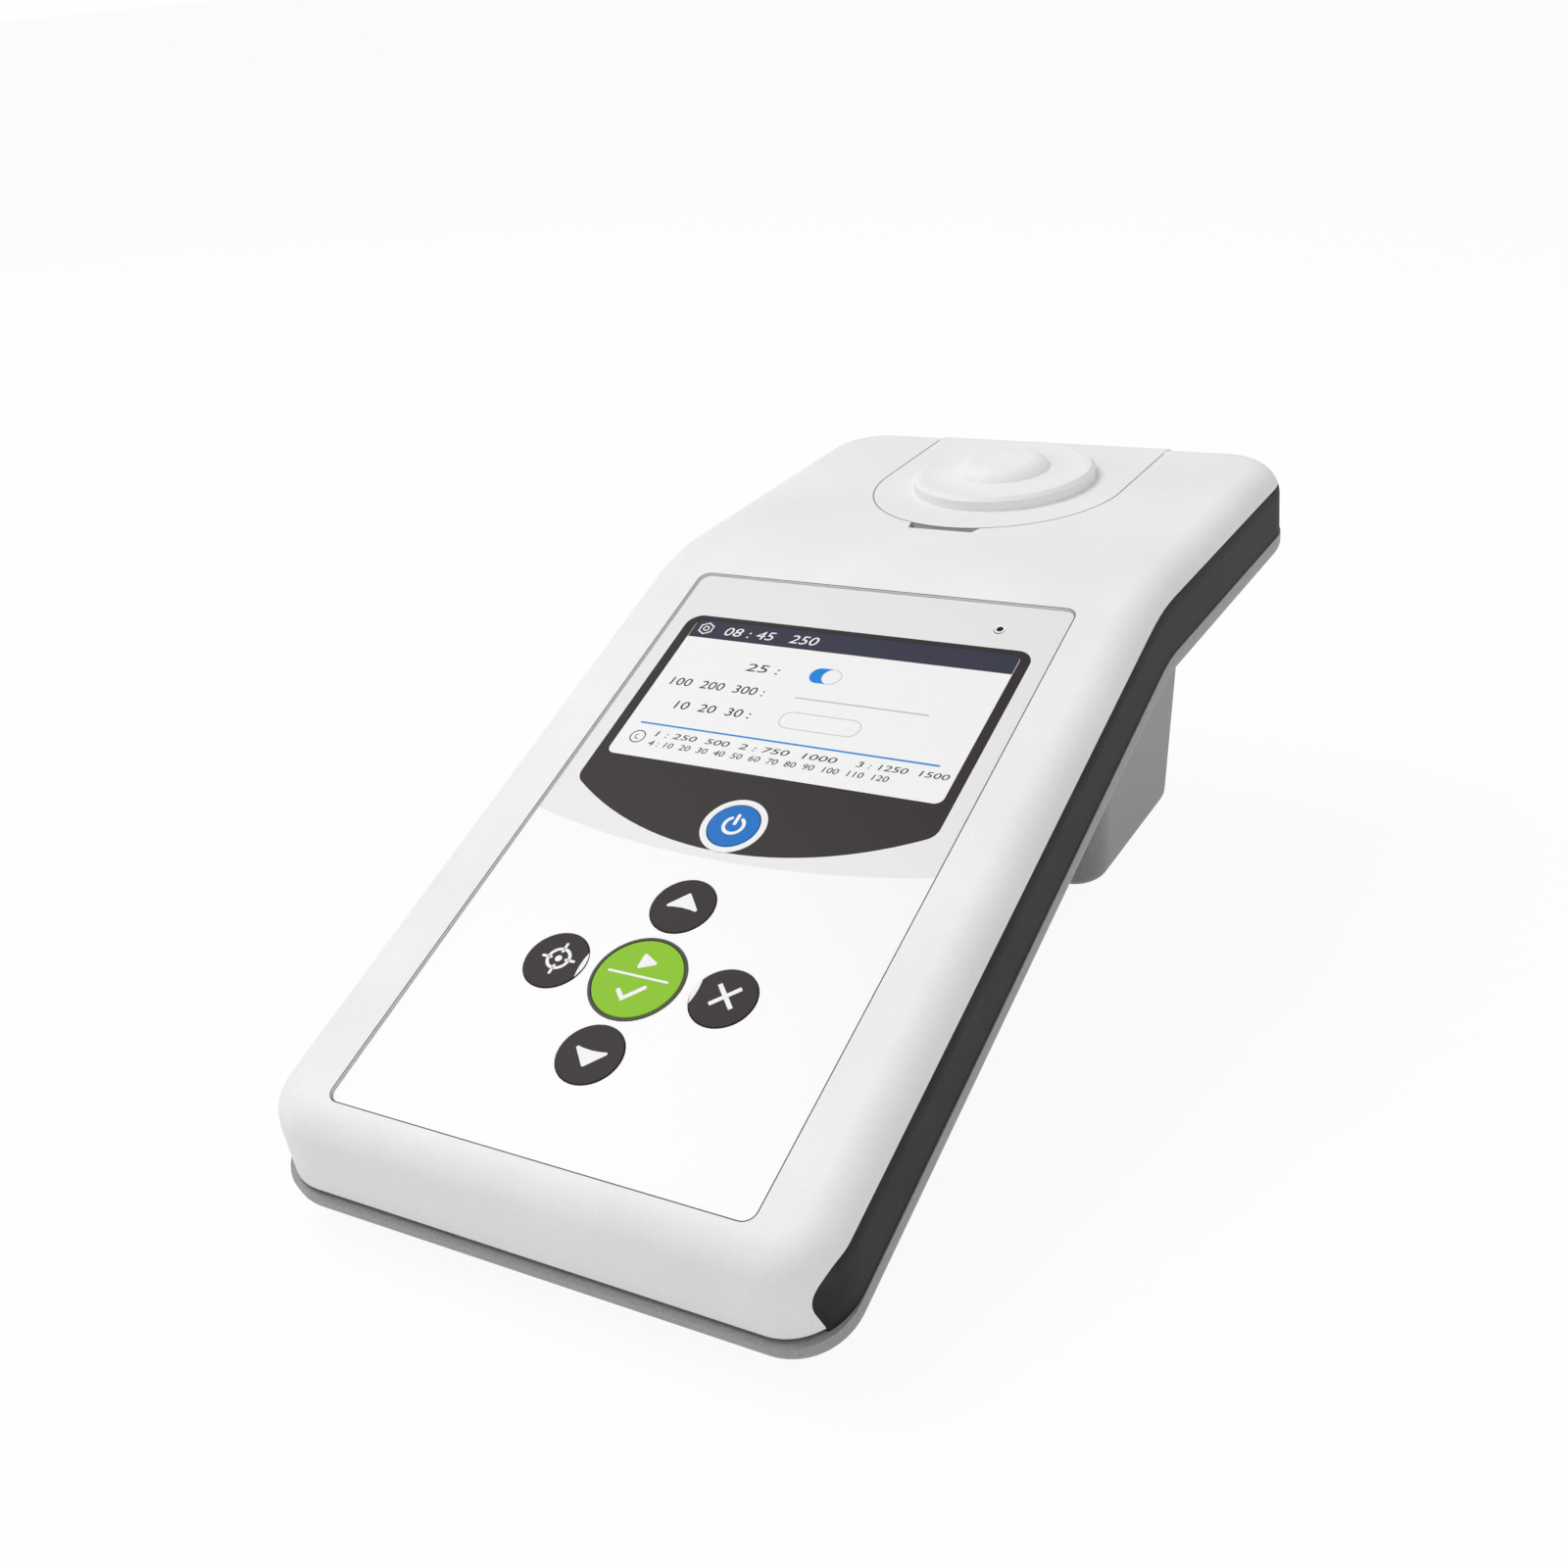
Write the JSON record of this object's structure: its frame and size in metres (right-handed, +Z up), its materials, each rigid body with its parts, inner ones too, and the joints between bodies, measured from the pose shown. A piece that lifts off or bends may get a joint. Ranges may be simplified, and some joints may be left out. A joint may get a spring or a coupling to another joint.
{
  "type": "portable water hardness meter",
  "caption": "Handheld photometric water hardness meter: sloped keypad with colour display, hinged lid with light-shield cap over a deep sample chamber, soft side grips.",
  "frame": {"origin": "on the table, under the middle of the instrument's length and width", "axes": "+X to the right of the person using it, +Y from the keypad end towards the lid's hinge, +Z up"},
  "size_m": [0.1004, 0.2032, 0.0796],
  "materials": {
    "white_shell": "fine grain",
    "black_grip": "matt",
    "grey_shell": "fine grain",
    "printed_sheet": "smooth matt",
    "dark_surround": "satin",
    "screen": "satin",
    "tray_metal": "satin",
    "lamp_plate": "smooth",
    "foam": "matt",
    "indicator": "gloss",
    "white_ring": "smooth",
    "dark_ring": "smooth",
    "blue_key": "smooth",
    "dark_key": "smooth",
    "green_key": "smooth",
    "board": "satin",
    "switches": "matt",
    "chips": "matt",
    "steel": "satin",
    "cells": "satin",
    "contact_metal": "bright",
    "white_lid": "fine grain",
    "white_cap": "smooth",
    "well_black": "matt",
    "lamp": "clear",
    "optic_glass": "polished",
    "filter_glass": "polished",
    "diode_can": "bright",
    "rubber_foot": "matt"
  },
  "bodies": {
    "housing": {"top_cover": "white_shell", "side_grip_left": "black_grip", "side_grip_right": "black_grip", "bottom_case": "grey_shell", "keypad_overlay": "printed_sheet", "display_bezel": "dark_surround", "display_screen": "screen", "display_frame": "tray_metal", "display_backlight": "lamp_plate", "display_cushion": "foam", "indicator_lens": "indicator", "power_key_ring": "white_ring", "enter_key_ring": "dark_ring", "main_board": "board", "key_switches": "switches", "board_components": "chips", "board_screws": "steel", "buzzer": "chips", "batteries": "cells", "battery_contacts": "contact_metal", "battery_springs": "contact_metal", "case_screws": "steel", "hinge_pin": "steel", "sample_well": "well_black", "well_seal_ring": "foam", "light_source": "lamp", "source_lens": "optic_glass", "source_board": "board", "optical_filter": "filter_glass", "photodiode": "diode_can", "detector_board": "board", "front_feet": "rubber_foot", "chamber_feet": "rubber_foot"},
    "lid": {"lid_panel": "white_lid", "lid_cap": "white_cap"},
    "door": {"battery_door": "grey_shell", "battery_door_screws": "steel"},
    "pushed_power_key": {"power_key": "blue_key"},
    "pushed_up_key": {"up_key": "dark_key"},
    "pushed_enter_key": {"enter_key": "green_key"},
    "pushed_down_key": {"down_key": "dark_key"},
    "pushed_left_key": {"left_key": "dark_key"},
    "pushed_right_key": {"right_key": "dark_key"}
  },
  "joints": [
    {"name": "lid_hinge", "type": "hinge", "parent": "housing", "child": "lid", "pos_m": [0, 0.09609, 0.07075], "axis": [-1, 0, 0], "range_deg": [0, 105]},
    {"name": "battery_door_lift", "type": "slide", "parent": "housing", "child": "door", "axis": [0, 0.3697, -0.9291], "range_m": [0, 0.012]},
    {"name": "power_key_press", "type": "slide", "parent": "housing", "child": "pushed_power_key", "axis": [0, 0.3697, -0.9291], "range_m": [0, 0.0004], "stiffness_N_per_m": 2500},
    {"name": "up_key_press", "type": "slide", "parent": "housing", "child": "pushed_up_key", "axis": [0, 0.3697, -0.9291], "range_m": [0, 0.0004], "stiffness_N_per_m": 2500},
    {"name": "enter_key_press", "type": "slide", "parent": "housing", "child": "pushed_enter_key", "axis": [0, 0.3697, -0.9291], "range_m": [0, 0.0004], "stiffness_N_per_m": 2500},
    {"name": "down_key_press", "type": "slide", "parent": "housing", "child": "pushed_down_key", "axis": [0, 0.3697, -0.9291], "range_m": [0, 0.0004], "stiffness_N_per_m": 2500},
    {"name": "left_key_press", "type": "slide", "parent": "housing", "child": "pushed_left_key", "axis": [0, 0.3697, -0.9291], "range_m": [0, 0.0004], "stiffness_N_per_m": 2500},
    {"name": "right_key_press", "type": "slide", "parent": "housing", "child": "pushed_right_key", "axis": [0, 0.3697, -0.9291], "range_m": [0, 0.0004], "stiffness_N_per_m": 2500}
  ]
}
